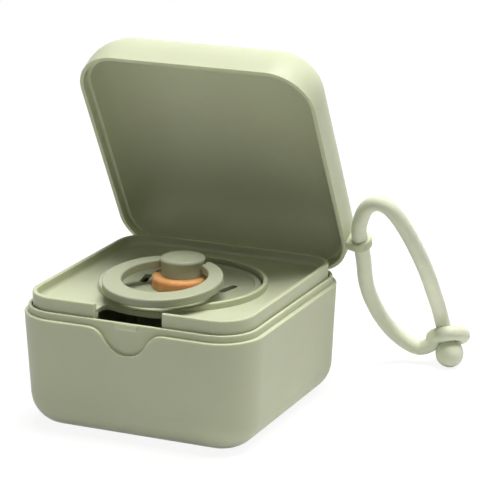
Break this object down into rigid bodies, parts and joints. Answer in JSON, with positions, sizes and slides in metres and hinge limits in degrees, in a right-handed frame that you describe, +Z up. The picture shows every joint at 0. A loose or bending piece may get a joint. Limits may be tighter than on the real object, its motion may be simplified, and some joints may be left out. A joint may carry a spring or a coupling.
{
  "type": "pacifier sterilizer case",
  "caption": "Square rounded case with a domed hinged lid standing open, a lift-out tray that holds a pacifier with a pull ring, and a looped carrying strap through an eyelet on the lid.",
  "frame": {"origin": "middle of the base's flat bottom, on the surface it stands on", "axes": "+Z up, the hinge along X at the back (+Y), the opening side and thumb notch towards -Y, the strap's eyelet at +X"},
  "size_m": [0.1167, 0.1231, 0.1192],
  "materials": {
    "case_plastic": "fine matt moulded polypropylene, sage green",
    "pacifier_plastic": "matt moulded polypropylene, sage green",
    "strap_silicone": "soft matt silicone, sage green",
    "teat_rubber": "amber natural rubber",
    "pin_steel": "plain drawn wire"
  },
  "bodies": {
    "base": {"base_shell": "case_plastic", "hinge_pin": "pin_steel"},
    "lid": {"lid_shell": "case_plastic"},
    "tray": {"tray": "case_plastic"},
    "pacifier": {"pacifier_shield": "pacifier_plastic", "pacifier_nipple": "teat_rubber", "pacifier_knob": "pacifier_plastic"},
    "pull_ring": {"pacifier_ring": "pacifier_plastic"},
    "strap": {"strap_cord": "strap_silicone", "strap_ring_end": "strap_silicone", "strap_ball_end": "strap_silicone"}
  },
  "joints": [
    {"name": "lid_hinge", "type": "hinge", "parent": "base", "child": "lid", "pos_m": [0, 0.04343, 0.03753], "axis": [-1, 0, 0], "range_deg": [-62.44, 0]},
    {"name": "tray_lift", "type": "slide", "parent": "base", "child": "tray", "axis": [0, 0, 1], "range_m": [0, 0.015]},
    {"name": "pacifier_lift", "type": "slide", "parent": "tray", "child": "pacifier", "axis": [0, 0, 1], "range_m": [0, 0.028]},
    {"name": "pull_ring_swing", "type": "hinge", "parent": "pacifier", "child": "pull_ring", "pos_m": [0, 0, 0.0487], "axis": [-1, 0, 0], "range_deg": [0, 175]},
    {"name": "strap_swing", "type": "hinge", "parent": "lid", "child": "strap", "pos_m": [0.0465, 0.0407, 0.05125], "axis": [0, -0.4627, 0.8865], "range_deg": [0, 60]}
  ]
}
